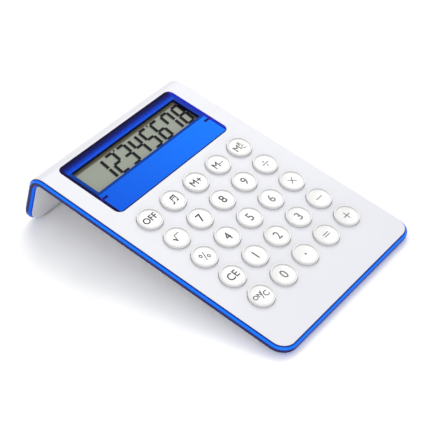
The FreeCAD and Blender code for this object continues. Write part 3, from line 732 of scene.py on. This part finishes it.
# Rows from the back of the slab to the front, each from left to right.
KEY_NAMES = [
    ["off", "melody", "memory_plus", "memory_minus", "memory_recall"],
    ["square_root", "seven", "eight", "nine", "divide"],
    ["percent", "four", "five", "six", "multiply"],
    ["clear_entry", "one", "two", "three", "minus"],
    ["on_clear", "zero", "point", "equals", "plus"],
]
places = {}
for row, names in enumerate(reversed(KEY_NAMES)):
    for column, name in enumerate(names):
        places[name] = key_spot(column, row)
for name, spot in places.items():
    shape = turned(CAP_SECTION)
    layer = shape.verts.layers.float.new("wall")
    for corner in shape.verts:
        corner[layer] = wall_shade(corner.co)
    bmesh.ops.translate(shape, vec=spot, verts=shape.verts)
    cap = finish_piece("cap_" + name, shape, key_cap, body="key_" + name, sharp=50)
    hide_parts("key_" + name)
print("caps:", len(places))

# %% [markdown]
# ## Legends
#
# The legends are printed in grey.  Letters and digits are text objects turned into
# meshes, each scaled to a given height.  Signs such as the root and the notes are drawn with bars
# and dots, which keeps their strokes as thick as the letters'.

# %% Legend makers
PRINT_HEIGHT = FLOOR + 0.04
STROKE = 0.52
PRINT_SPREAD = ((-0.08, -0.05), (0.08, -0.05), (0.0, 0.08))
PRINT_STEP = 0.004


def bar(shape, start, end, width=STROKE):
    """A straight stroke between two points, in millimetres."""
    start, end = Vector(start), Vector(end)
    along = end - start
    size = Matrix.Diagonal((along.length, width, 1, 1))
    lean = Matrix.Rotation(math.atan2(along.y, along.x), 4, "Z")
    place = Matrix.Translation(((start + end) / 2).to_3d())
    bmesh.ops.create_grid(shape, x_segments=1, y_segments=1, size=0.5,
                          matrix=place @ lean @ size)


def dot(shape, centre, radius):
    bmesh.ops.create_circle(shape, cap_ends=True, segments=20, radius=radius,
                            matrix=Matrix.Translation(Vector(centre).to_3d()))


def add_text(shape, words, height, centre=(0, 0), narrow=0.98):
    """Adds text of a given height, centred on a point, in millimetres.

    It is laid down three times, a little apart, which makes its strokes stouter.
    """
    curve = bpy.data.curves.new("words", "FONT")
    curve.body = words
    curve.resolution_u = 4
    words_object = bpy.data.objects.new("words", curve)
    bpy.context.scene.collection.objects.link(words_object)
    bpy.context.view_layer.update()
    mesh = bpy.data.meshes.new_from_object(words_object)
    bpy.data.objects.remove(words_object)
    letters = bmesh.new()
    letters.from_mesh(mesh)
    low = Vector([min(v.co[i] for v in letters.verts) for i in range(3)])
    high = Vector([max(v.co[i] for v in letters.verts) for i in range(3)])
    scale = height / (high.y - low.y)
    middle = (low + high) / 2
    size = Matrix.Diagonal((scale * narrow, scale, 1, 1))
    for layer, (aside, up) in enumerate(PRINT_SPREAD):
        place = Matrix.Translation((centre[0] + aside, centre[1] + up, layer * PRINT_STEP))
        print_once = letters.copy()
        bmesh.ops.transform(print_once, matrix=place @ size @ Matrix.Translation(-middle),
                            verts=print_once.verts)
        print_once.to_mesh(mesh)
        print_once.free()
        shape.from_mesh(mesh)
    letters.free()
    bpy.data.meshes.remove(mesh)


# %% Signs drawn with bars
def draw_root(shape):
    bar(shape, (-2.7, -0.1), (-2.1, 0.3), 0.45)
    bar(shape, (-2.15, 0.35), (-1.2, -1.75), 0.7)
    bar(shape, (-1.3, -1.8), (-0.2, 1.75), 0.4)
    bar(shape, (-0.35, 1.65), (2.7, 1.65), 0.42)


def draw_notes(shape):
    for side, foot in ((-0.75, -1.75), (2.15, -1.35)):
        bar(shape, (side - 0.2, foot), (side + 0.25, 2.1), 0.45)
        bar(shape, (side - 1.35, foot - 0.15), (side - 0.1, foot + 0.1), 0.75)
    bar(shape, (-0.6, 1.85), (2.55, 2.15), 0.75)
    bar(shape, (-0.7, 0.75), (2.45, 1.05), 0.4)


def draw_divide(shape):
    bar(shape, (-2.2, 0), (2.2, 0), 0.5)
    for side in (-1, 1):
        dot(shape, (0, side * 1.45), 0.48)


def draw_multiply(shape):
    for side in (-1, 1):
        bar(shape, (-1.6, -1.6 * side), (1.6, 1.6 * side), 0.5)


def draw_minus(shape):
    bar(shape, (-2.2, 0), (2.2, 0), 0.5)


def draw_plus(shape):
    draw_minus(shape)
    bar(shape, (0, -2.2), (0, 2.2), 0.5)


def draw_equals(shape):
    for side in (-1, 1):
        bar(shape, (-1.95, side * 0.66), (1.95, side * 0.66), 0.48)


def draw_point(shape):
    dot(shape, (0, 0), 0.55)


def draw_percent(shape):
    bar(shape, (-0.95, -2.35), (1.05, 2.35), 0.4)
    add_text(shape, "o", 1.9, (-1.5, 1.2), narrow=0.8)
    add_text(shape, "o", 1.9, (1.5, -1.2), narrow=0.8)


def draw_recall(shape):
    add_text(shape, "M", 3.7, (-1.7, 0.0))
    add_text(shape, "R", 2.3, (1.65, 1.4))
    add_text(shape, "C", 2.3, (1.65, -1.35))


def draw_on_clear(shape):
    add_text(shape, "ON", 2.4, (-2.0, 0.85))
    bar(shape, (-0.75, -2.1), (1.35, 2.3), 0.42)
    add_text(shape, "C", 2.9, (2.3, -0.7))


SIGNS = {
    "square_root": draw_root, "melody": draw_notes, "divide": draw_divide,
    "multiply": draw_multiply, "minus": draw_minus, "plus": draw_plus, "equals": draw_equals,
    "point": draw_point, "percent": draw_percent, "memory_recall": draw_recall,
    "on_clear": draw_on_clear,
}
WORDS = {
    "off": ("OFF", 3.5), "memory_plus": ("M+", 3.7), "memory_minus": ("M–", 3.7),
    "clear_entry": ("CE", 3.9), "zero": ("0", 4.6), "one": ("1", 4.5), "two": ("2", 4.6),
    "three": ("3", 4.6), "four": ("4", 4.5), "five": ("5", 4.6), "six": ("6", 4.6),
    "seven": ("7", 4.5), "eight": ("8", 4.6), "nine": ("9", 4.6),
}

# %% Print the legends
for name, spot in places.items():
    shape = bmesh.new()
    if name in SIGNS:
        SIGNS[name](shape)
    else:
        words, height = WORDS[name]
        add_text(shape, words, height)
    raised = Matrix.Translation(spot + Vector((0, 0, PRINT_HEIGHT * MM))) @ Matrix.Scale(MM, 4)
    bmesh.ops.transform(shape, matrix=raised, verts=shape.verts)
    legend = finish_piece("legend_" + name, shape, legend_ink, body="key_" + name)
print("legends:", len(places))

# %% [markdown]
# ## Digits of the display
#
# A seven-segment digit is seven bars with pointed ends.  A hexagon is stretched into each bar,
# the digit is made of the bars that are on, and all digits lean to the right.  A paler copy lies
# just under them, a little to the left and forward: it stands for the shade that the segments
# throw on the reflector behind the glass.

# %% Draw the digits
# In slab millimetres: the size and spacing of the digits, their strokes, the small marks
# between thousands, and how far ink and shade lie above the film.
DIGIT_WIDTH = 4.75
DIGIT_HALF = 6.5
DIGIT_PITCH = 8.27
DIGIT_LEAN = math.tan(math.radians(7.0))
LAST_DIGIT = (34.7, 128.9)
UPRIGHT_WIDTH, LEVEL_WIDTH = 1.7, 1.5
SEGMENT_EXTRA = 0.3
POINT_REACH = 0.6
MARKED_DIGITS = "25"
MARK_LENGTH, MARK_WIDTH, MARK_TURN = 1.7, 0.7, 80
FILM_HALF = 0.075
DIGIT_LIFT, SHADE_LIFT = 0.03, 0.015
SHADE_SHIFT = (-0.55, -0.3)
SEGMENTS = {"a": (0, 1, 0), "b": (1, 0.5, 90), "c": (1, -0.5, 90), "d": (0, -1, 0),
            "e": (-1, -0.5, 90), "f": (-1, 0.5, 90), "g": (0, 0, 0)}
LIT = {"1": "bc", "2": "abged", "3": "abgcd", "4": "fgbc", "5": "afgcd", "6": "afgedc",
       "7": "fabc", "8": "abcdefg"}


def segment(shape, centre, length, width, quarter):
    """A bar with pointed ends: a stretched hexagon."""
    made = bmesh.ops.create_circle(shape, cap_ends=True, segments=6, radius=1.0)
    for corner in made["verts"]:
        tip = abs(corner.co.y) < 0.9 and abs(abs(corner.co.x) - 1) < 0.1
        reach = length / 2 if tip else (length - POINT_REACH * width) / 2
        corner.co.x = math.copysign(reach, corner.co.x)
        corner.co.y = 0 if tip else math.copysign(width / 2, corner.co.y)
    place = Matrix.Translation(Vector(centre).to_3d()) @ Matrix.Rotation(
        math.radians(quarter), 4, "Z")
    bmesh.ops.transform(shape, matrix=place, verts=made["verts"])


def draw_digits(shape):
    """Draws 12345678, with a small mark after each group of thousands."""
    for index, digit in enumerate("12345678"):
        middle = LAST_DIGIT[0] - (7 - index) * DIGIT_PITCH
        for side, up, quarter in (SEGMENTS[letter] for letter in LIT[digit]):
            length = DIGIT_HALF if quarter else DIGIT_WIDTH
            segment(shape, (middle + side * DIGIT_WIDTH / 2, LAST_DIGIT[1] + up * DIGIT_HALF),
                    length + SEGMENT_EXTRA, UPRIGHT_WIDTH if quarter else LEVEL_WIDTH, quarter)
        if digit in MARKED_DIGITS:
            segment(shape, (middle + DIGIT_PITCH / 2, LAST_DIGIT[1] + DIGIT_HALF + 0.2),
                    MARK_LENGTH, MARK_WIDTH, MARK_TURN)
    for corner in shape.verts:
        corner.co.x += (corner.co.y - LAST_DIGIT[1]) * DIGIT_LEAN


film_low, film_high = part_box("front_polariser")
film_top = (flat @ ((film_low + film_high) / 2)).z / MM + FILM_HALF
for name, ink, shift, lift in (("digits", segment_ink, (0, 0), DIGIT_LIFT),
                               ("digit_shade", segment_shade, SHADE_SHIFT, SHADE_LIFT)):
    shape = bmesh.new()
    draw_digits(shape)
    place = Matrix.Translation(Vector((shift[0], shift[1], film_top + lift)) * MM)
    bmesh.ops.transform(shape, matrix=place @ Matrix.Scale(MM, 4), verts=shape.verts)
    digits = finish_piece(name, shape, ink)
print("digits on the film at", round(film_top, 3), "mm")

# %% [markdown]
# ## Finishes for the parts kept from CAD
#
# The remaining parts keep their CAD meshes and only swap their material.

# %% Dress the CAD parts
FINISHES = {
    "front_polariser": film, "front_glass": glass, "rear_glass": glass, "rear_reflector": foil,
    "striped_connector": connector, "key_mat": silicone, "carbon_pills": carbon,
    "circuit_board": laminate, "board_parts": ceramic, "sounder_disc": brass,
    "button_cells": cell_steel, "cell_contacts": spring_steel, "cell_link": spring_steel,
    "case_screws": screw_steel, "door_screw": screw_steel, "front_feet": foot_rubber,
    "leg_sole": foot_rubber, "chip_cap": resin,
}
for node, material in FINISHES.items():
    nodes[node].data.materials.clear()
    nodes[node].data.materials.append(material)
print("dressed:", len(FINISHES))

# %% [markdown]
# ## Stage and light
#
# The calculator stands on a plain white floor.  A broad soft light from the back right throws
# the shade to the front left, and a second one from the front left softens it.  A white world does
# the rest.

# %% Floor, lights and world
FLOOR_HALF = 3.0
LIGHT_DISTANCE = 1.1

floor_shape = bmesh.new()
bmesh.ops.create_grid(floor_shape, x_segments=1, y_segments=1, size=FLOOR_HALF)
floor_mesh = bpy.data.meshes.new("floor")
floor_shape.to_mesh(floor_mesh)
floor_shape.free()
floor_mesh.materials.append(moulded("floor", (0.93, 0.93, 0.93, 1), gloss=0.75, ripple=0.0))
floor = bpy.data.objects.new("floor", floor_mesh)
bpy.context.scene.collection.objects.link(floor)


def soft_light(name, direction, size, power):
    """A square soft light that faces the calculator."""
    data = bpy.data.lights.new(name, "AREA")
    data.size = size
    data.energy = power
    light = bpy.data.objects.new(name, data)
    light.location = Vector(direction).normalized() * LIGHT_DISTANCE
    light.rotation_euler = Vector(direction).to_track_quat("Z", "Y").to_euler()
    bpy.context.scene.collection.objects.link(light)


soft_light("broad_light", (0.60, 0.42, 0.90), 0.7, 4.4)
soft_light("fill_light", (-0.6, -0.75, 0.35), 0.9, 3.4)
world = bpy.data.worlds.new("studio")
world.use_nodes = True
world.node_tree.nodes["Background"].inputs["Color"].default_value = (1, 1, 1, 1)
world.node_tree.nodes["Background"].inputs["Strength"].default_value = 1.0
bpy.context.scene.world = world
bpy.context.scene.view_settings.view_transform = "Standard"
print("stage ready")
